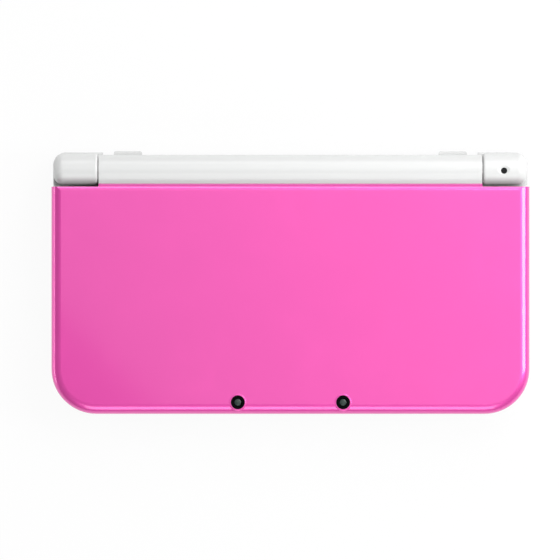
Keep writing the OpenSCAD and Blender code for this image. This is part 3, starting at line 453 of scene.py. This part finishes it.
def picture_area(name):
    """The switched-off picture behind the glass: near black, with its fine grid of cells."""
    material, w, sockets = new_material(name)
    marks = w.use(HANDLING, Smear_Scale=38.0, Scratch_Scale=1200.0)
    grid = w.add("ShaderNodeTexBrick")
    grid.offset = 0.0
    w.feed(grid.inputs["Vector"], w.place())
    w.feed(grid.inputs["Scale"], 1.0)
    w.feed(grid.inputs["Color1"], (0.020, 0.022, 0.026))
    w.feed(grid.inputs["Color2"], (0.026, 0.027, 0.030))
    w.feed(grid.inputs["Mortar"], (0.010, 0.010, 0.011))
    w.feed(grid.inputs["Mortar Size"], CELL_LINE)
    w.feed(grid.inputs["Brick Width"], CELL)
    w.feed(grid.inputs["Row Height"], CELL)
    smeared = w.blend(w.math("MULTIPLY", marks["Smears"], 0.05), grid.outputs["Color"], SMEAR_TINT)
    w.join(smeared, sockets["Base Color"])
    w.join(w.math("ADD", 0.07, w.math("MULTIPLY", marks["Smears"], 0.10)), sockets["Roughness"])
    bump(w, sockets, marks["Scratches"], 0.000002)
    return material


def circuit_board(name):
    """Green solder mask with tracks just showing, and bare gold pads."""
    material, w, sockets = new_material(name)
    tracks = w.use(TRACKS)
    base = w.blend(w.math("MULTIPLY", tracks["Tracks"], 0.8), BOARD_GREEN, BOARD_TRACK)
    base = w.blend(tracks["Pads"], base, GOLD)
    w.join(w.use(DRIFT, Colour=base, Amount=0.06)["Colour"], sockets["Base Color"])
    w.join(tracks["Pads"], sockets["Metallic"])
    w.join(w.math("SUBTRACT", 0.42, w.math("MULTIPLY", tracks["Pads"], 0.15)), sockets["Roughness"])
    bump(w, sockets, w.math("ADD", tracks["Tracks"], tracks["Pads"]), 0.00002)
    return material


def coated_lens(name):
    """Dark domed glass with a thin green coating that turns violet towards its rim."""
    material, w, sockets = new_material(name)
    facing = w.add("ShaderNodeLayerWeight")
    facing.inputs["Blend"].default_value = 0.35
    marks = w.use(HANDLING, Smear_Scale=600.0)
    tone = w.blend(facing.outputs["Facing"], LENS_GREEN, (0.05, 0.035, 0.06))
    smeared = w.blend(w.math("MULTIPLY", marks["Smears"], 0.15), tone, (0.14, 0.15, 0.14))
    w.join(smeared, sockets["Base Color"])
    w.join(w.math("ADD", 0.04, w.math("MULTIPLY", marks["Smears"], 0.05)), sockets["Roughness"])
    sockets["Specular IOR Level"].default_value = 0.25
    sockets["Coat Weight"].default_value = 0.12
    sockets["Coat Roughness"].default_value = 0.05
    bump(w, sockets, w.use(FLOW, Wave_Scale=900.0)["Height"], 0.000004)
    return material


def light_pipe(name, colour):
    """Milky clear pipe that carries a lamp's light to the outside."""
    material, w, sockets = new_material(name)
    haze = w.use(GRAIN, Grain_Scale=2600.0)
    w.join(w.use(DRIFT, Colour=(*colour, 1.0), Amount=0.05)["Colour"], sockets["Base Color"])
    w.join(w.math("ADD", 0.12, w.math("MULTIPLY", haze["Tone"], 0.08)), sockets["Roughness"])
    sockets["Transmission Weight"].default_value = 0.45
    bump(w, sockets, haze["Height"], 0.00001)
    return material


def build_materials():
    return {
        "pink": gloss_plastic("gloss pink", PINK, PINK_WORN, roughness=0.36, coat=1.0, drift=0.015,
                              wear=0.4, pearl=0.45, bounce=PINK_BOUNCE),
        "white": gloss_plastic("gloss white", WHITE, WHITE_WORN, roughness=0.36, coat=0.3, drift=0.012,
                               wear=0.3),
        "white_soft": matt_plastic("grained white", WHITE_SOFT, WHITE_WORN, roughness=0.46, drift=0.015,
                                   wear=0.3),
        "steel": metal("plain steel", STEEL),
        "sheet": metal("folded sheet", SHEET, roughness=0.2, lines=1500.0),
        "gold": metal("gold contact", GOLD, roughness=0.18, lines=3200.0, stain=(0.50, 0.33, 0.12)),
        "cell": matt_plastic("wrapped cell", CELL_WRAP, (0.10, 0.10, 0.11), roughness=0.34, grain=1500.0,
                             depth=0.00003, coarse=0.2),
        "board": circuit_board("circuit board"),
        "dark": matt_plastic("dark plastic", DARK_GREY, (0.07, 0.07, 0.075), roughness=0.48, grain=5200.0),
        "black": gloss_plastic("black gloss", BLACK, (0.03, 0.03, 0.03), roughness=0.3, coat=0.0,
                               drift=0.08, wear=0.3, dust_and_shade_colour=(0.04, 0.04, 0.04), shine=0.05),
        "ir": gloss_plastic("infrared filter", INFRARED, (0.07, 0.01, 0.015), roughness=0.1, coat=0.8,
                            drift=0.1),
        "clear": light_pipe("clear pipe", CLEAR_PIPE),
        "smoke": gloss_plastic("smoked lens", SMOKE, (0.02, 0.02, 0.02), roughness=0.3, coat=0.05,
                               drift=0.1, shine=0.15),
        "screen": screen_glass("black glass", SCREEN_BLACK),
        "picture": picture_area("picture area"),
        "mat": matt_plastic("silicone rubber", RUBBER_GREY, (0.50, 0.50, 0.50), roughness=0.62,
                            grain=3000.0, depth=0.00005),
        "grey": matt_plastic("grey plastic", MID_GREY, (0.38, 0.38, 0.39), roughness=0.42),
        "pad": matt_plastic("soft grip", PAD_GREY, (0.44, 0.45, 0.46), roughness=0.68, grain=2600.0,
                            depth=0.00008, coarse=0.8),
        "keys": gloss_plastic("key plastic", KEY_GREY, (0.74, 0.75, 0.76), roughness=0.3, coat=0.3,
                              drift=0.02),
        "lens": coated_lens("coated lens"),
    }


MATERIALS = build_materials()
SLOT_OF_SOLID = {part["node"]: part["material_slot"] for part in frame["record"]["subparts"]}


def dress_solids():
    """Each solid takes the finish of its slot."""
    for name, solid in SOLIDS.items():
        finish = MATERIALS[SLOT_OF_SOLID[name]]
        if not solid.material_slots:
            solid.data.materials.append(finish)
        for slot in solid.material_slots:
            slot.material = finish


# ---------- Pieces that the solids leave out ----------

def piece(name, mesh, body, slot, finish=None, smooth=True):
    """Links a finished mesh as a piece of the console."""
    thing = bpy.data.objects.new(name, mesh)
    bpy.context.scene.collection.objects.link(thing)
    for face in mesh.polygons:
        face.use_smooth = smooth
    mesh.materials.append(MATERIALS[finish or slot])
    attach(thing, body)
    return thing


def mesh_from(name, shape):
    mesh = bpy.data.meshes.new(name)
    shape.normal_update()
    shape.to_mesh(mesh)
    shape.free()
    return mesh


def turned(profile, centre, steps=48, axis="Z"):
    """A turned shape from (radius, height) points in mm, round an axis through centre."""
    shape = bmesh.new()
    rings = []
    for radius, height in profile:
        if radius < 1e-6:
            rings.append([shape.verts.new((0, 0, height))])
        else:
            rings.append([shape.verts.new((radius * math.cos(2 * math.pi * i / steps),
                                           radius * math.sin(2 * math.pi * i / steps), height))
                          for i in range(steps)])
    for low, high in zip(rings, rings[1:]):
        for i in range(steps):
            j = (i + 1) % steps
            corners = [low[i % len(low)], low[j % len(low)], high[j % len(high)], high[i % len(high)]]
            unique = list(dict.fromkeys(corners))
            if len(unique) > 2:
                shape.faces.new(unique)
    if axis == "Y":
        bmesh.ops.rotate(shape, verts=shape.verts, matrix=Matrix.Rotation(math.radians(90), 3, "X"))
    bmesh.ops.scale(shape, verts=shape.verts, vec=(MM, MM, MM))
    bmesh.ops.translate(shape, verts=shape.verts, vec=centre)
    bmesh.ops.recalc_face_normals(shape, faces=shape.faces)
    return shape


def rounded_bar(shape, low, high, roll, steps=2):
    """Adds a bar with rolled edges to shape, between two corners in metres."""
    made = bmesh.ops.create_cube(shape, size=1.0)["verts"]
    size = [high[i] - low[i] for i in range(3)]
    for v in made:
        v.co = Vector([low[i] + (v.co[i] + 0.5) * size[i] for i in range(3)])
    edges = {e for v in made for e in v.link_edges}
    bmesh.ops.bevel(shape, geom=list(edges), offset=roll, segments=steps, profile=0.5, affect="EDGES")


def bars(name, boxes, roll, body, slot, finish=None):
    shape = bmesh.new()
    for low, high in boxes:
        rounded_bar(shape, low, high, roll)
    bmesh.ops.recalc_face_normals(shape, faces=shape.faces)
    return piece(name, mesh_from(name, shape), body, slot, finish, smooth=False)


def camera_pieces():
    """Stepped light baffle and raised lens inside each black camera ring."""
    low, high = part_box("outer_cameras")
    radius = (high.y - low.y) / 2 / MM
    top = high.z / MM
    middle_y = (low.y + high.y) / 2
    r0 = radius * 0.5
    # Radius beyond r0, and depth below the ring's top, in mm
    baffle_steps = [(0.40, -0.20), (0.28, -0.20), (0.28, -0.36), (0.16, -0.36),
                    (0.16, -0.52), (0.05, -0.52), (0.05, -0.90), (0.14, -0.96)]
    dome_radius = r0 + 0.04
    dome_foot = top - 0.62
    dome_height = 0.34
    dome_rings = 8
    for side, x in (("left", low.x + radius * MM), ("right", high.x - radius * MM)):
        centre = Vector((x, middle_y, 0))
        shape = turned([(r0 + r, top + z) for r, z in baffle_steps], centre)
        piece(f"camera_baffle_{side}", mesh_from(f"camera_baffle_{side}", shape), "lid", "black")
        dome = [(dome_radius, dome_foot)]
        for i in range(1, dome_rings + 1):
            angle = math.radians(90 * i / dome_rings)
            dome.append((dome_radius * math.cos(angle), dome_foot + dome_height * math.sin(angle)))
        shape = turned(dome, centre)
        piece(f"camera_dome_{side}", mesh_from(f"camera_dome_{side}", shape), "lid", "lens")


def picture_panes():
    """The picture area of each screen, just proud of its glass."""
    proud = 0.00003
    roll = 0.00001
    side_inset = 0.0031
    end_inset = 0.0012
    panel_inset = 0.0035
    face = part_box("upper_glass")[0].z
    low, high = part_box("upper_display")
    upper = ((low.x + side_inset, low.y + end_inset, face - proud),
             (high.x - side_inset, high.y - end_inset, face + proud))
    bars("upper_picture", [upper], roll, "lid", "screen", "picture")
    low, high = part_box("touch_panel")
    lower = ((low.x + panel_inset, low.y + panel_inset, high.z - proud),
             (high.x - panel_inset, high.y - panel_inset, high.z + proud))
    bars("lower_picture", [lower], roll, "base", "screen", "picture")


def slider_ridges():
    """Three small grip ridges on each side slider."""
    pitch = 0.0011
    half = 0.0003
    sunk = 0.0002
    proud = 0.00009
    for name, body, side in (("volume_slider", "volume_knob", -1), ("depth_slider", "depth_knob", 1)):
        low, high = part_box(name)
        face = low.x if side < 0 else high.x
        middle = (low.y + high.y) / 2
        z0, z1 = low.z + 0.0005, low.z + 0.0011
        boxes = []
        for i in (-1, 0, 1):
            y = middle + i * pitch
            x0, x1 = sorted((face - side * sunk, face + side * proud))
            boxes.append(((x0, y - half, z0), (x1, y + half, z1)))
        bars(f"{name}_ridges", boxes, 0.00004, body, "keys")


def contact_row(name, count, pitch, half, middle, back, front, heights, roll):
    """A row of gold fingers across x, from y = back to y = front and between two heights."""
    boxes = []
    for i in range(count):
        x = middle + (i - count // 2) * pitch
        boxes.append(((x - half, back, heights[0]), (x + half, front, heights[1])))
    bars(name, boxes, roll, "base", "sheet", "gold")


def slot_contacts():
    """Gold fingers of the card slot and the charging port, and the sleeve of the headphone jack."""
    low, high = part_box("card_slot")
    contact_row("card_contacts", 17, 0.0018, 0.00035, (low.x + high.x) / 2, high.y - 0.009, high.y - 0.0031,
                (low.z + 0.0003, low.z + 0.0006), 0.00006)
    low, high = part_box("charge_port")
    port_z = (low.z + high.z) / 2
    contact_row("charge_contacts", 5, 0.001, 0.0003, 0.0, high.y - 0.0046, high.y - 0.0012,
                (port_z + 0.00033, port_z + 0.00042), 0.00002)
    sleeve = [(1.80, -0.6), (1.74, -0.6), (1.74, -3.2), (1.80, -3.2)]
    mouth = Vector((0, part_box("headphone_jack")[0].y, port_z))
    piece("jack_sleeve", mesh_from("jack_sleeve", turned(sleeve, mouth, axis="Y")), "base", "sheet")


def inner_camera_window():
    """The printed ring and the small lens of the inner camera, on the upper glass."""
    low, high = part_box("inner_camera")
    centre = Vector(((low.x + high.x) / 2, (low.y + high.y) / 2, 0))
    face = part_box("upper_glass")[0].z / MM
    proud = 0.03
    ring_out, ring_in = 1.7, 1.1
    ring = [(ring_out, face + proud), (ring_out, face - proud),
            (ring_in, face - proud), (ring_in, face + proud)]
    piece("inner_camera_ring", mesh_from("inner_camera_ring", turned(ring, centre)), "lid", "screen", "grey")
    lens = [(1.0, face + proud), (1.0, face), (0.6, face - proud * 0.8), (0.0, face - proud)]
    piece("inner_camera_lens", mesh_from("inner_camera_lens", turned(lens, centre)), "lid", "lens")


dress_solids()
camera_pieces()
picture_panes()
slider_ridges()
slot_contacts()
inner_camera_window()


# ---------- Studio ----------

def studio_floor():
    """Pale floor that the camera sees as white, and that keeps the console's shadow."""
    shape = bmesh.new()
    bmesh.ops.create_grid(shape, x_segments=2, y_segments=2, size=FLOOR_HALF)
    floor = bpy.data.objects.new("studio_floor", mesh_from("studio_floor", shape))
    bpy.context.scene.collection.objects.link(floor)
    material = bpy.data.materials.new("pale floor")
    material.use_nodes = True
    tree = material.node_tree
    tree.nodes.clear()
    w = Wiring(tree)
    paint = w.add("ShaderNodeBsdfDiffuse")
    speck = w.noise(w.place(), FLOOR_SPECK_SCALE, 2.0)
    w.join(w.blend(speck, FLOOR_DARK, FLOOR_LIGHT), paint.inputs["Color"])
    glow = w.add("ShaderNodeEmission")
    glow.inputs["Color"].default_value = (1.0, 1.0, 1.0, 1.0)
    glow.inputs["Strength"].default_value = 1.0
    path = w.add("ShaderNodeLightPath")
    seen = w.math("MAXIMUM", path.outputs["Is Camera Ray"], path.outputs["Is Transmission Ray"])
    seen = w.math("MAXIMUM", seen, path.outputs["Is Glossy Ray"])
    share = w.math("MULTIPLY", seen, FLOOR_WHITE)
    mix = w.add("ShaderNodeMixShader")
    w.join(share, mix.inputs["Fac"])
    w.join(paint.outputs["BSDF"], mix.inputs[1])
    w.join(glow.outputs["Emission"], mix.inputs[2])
    output = w.add("ShaderNodeOutputMaterial")
    w.join(mix.outputs["Shader"], output.inputs["Surface"])
    floor.data.materials.append(material)


def studio_world():
    world = bpy.data.worlds.new("studio")
    bpy.context.scene.world = world
    world.use_nodes = True
    tree = world.node_tree
    tree.nodes.clear()
    w = Wiring(tree)
    path = w.add("ShaderNodeLightPath")
    plain = w.add("ShaderNodeBackground")
    plain.inputs["Color"].default_value = (1.0, 1.0, 1.0, 1.0)
    plain.inputs["Strength"].default_value = WORLD_LEVEL
    white = w.add("ShaderNodeBackground")
    white.inputs["Color"].default_value = (1.0, 1.0, 1.0, 1.0)
    white.inputs["Strength"].default_value = 1.0
    mix = w.add("ShaderNodeMixShader")
    w.join(path.outputs["Is Camera Ray"], mix.inputs["Fac"])
    w.join(plain.outputs["Background"], mix.inputs[1])
    w.join(white.outputs["Background"], mix.inputs[2])
    output = w.add("ShaderNodeOutputWorld")
    w.join(mix.outputs["Shader"], output.inputs["Surface"])


def soft_box(name, place, aim, width, depth, level):
    """An area lamp whose face looks as bright as level times white."""
    lamp = bpy.data.lights.new(name, "AREA")
    lamp.shape = "RECTANGLE"
    lamp.size = width
    lamp.size_y = depth
    lamp.energy = level * math.pi * width * depth
    thing = bpy.data.objects.new(name, lamp)
    thing.location = place
    thing.rotation_euler = (Vector(aim) - Vector(place)).to_track_quat("-Z", "Y").to_euler()
    thing.visible_camera = False
    bpy.context.scene.collection.objects.link(thing)


def studio_lamps():
    """Name, place, aim, width, depth and level of each lamp."""
    soft_box("sky_box", (0.16, 0.14, 0.66), (0.02, 0.0, 0.0), 0.70, 0.60, 0.79)
    soft_box("key_box", (0.30, 0.29, 0.56), (0.03, 0.02, 0.0), 0.37, 0.37, 4.8)
    soft_box("right_strip", (0.49, 0.0, 0.37), (0.0, 0.0, 0.02), 0.15, 0.34, 9.5)
    soft_box("back_strip", (0.0, 0.64, 0.46), (0.0, 0.0, 0.02), 0.8, 0.26, 2.8)
    soft_box("front_strip", (0.0, -0.52, 0.46), (0.0, 0.0, 0.02), 0.44, 0.40, 2.8)
    soft_box("left_low_strip", (-0.70, 0.0, 0.045), (0.0, 0.0, 0.02), 0.50, 0.07, 5.8)


def studio_camera():
    camera = bpy.data.cameras.new("camera")
    camera.sensor_width = SENSOR_MM
    camera.lens = LENS_MM
    camera.clip_start = 0.05
    camera.clip_end = 30.0
    thing = bpy.data.objects.new("camera", camera)
    rim_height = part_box("lid_cover")[1].z - RIM_RADIUS
    width = PICTURE_PIXELS / PIXELS_PER_MM * MM
    away = width * LENS_MM / SENSOR_MM
    x = (PICTURE_PIXELS / 2 - CENTRE_PIXEL[0]) / PIXELS_PER_MM * MM
    y = (CENTRE_PIXEL[1] - PICTURE_PIXELS / 2) / PIXELS_PER_MM * MM
    thing.location = (x, y, rim_height + away)
    bpy.context.scene.collection.objects.link(thing)
    bpy.context.scene.camera = thing


studio_floor()
studio_world()
studio_lamps()
studio_camera()
bpy.context.scene.view_settings.view_transform = "Standard"
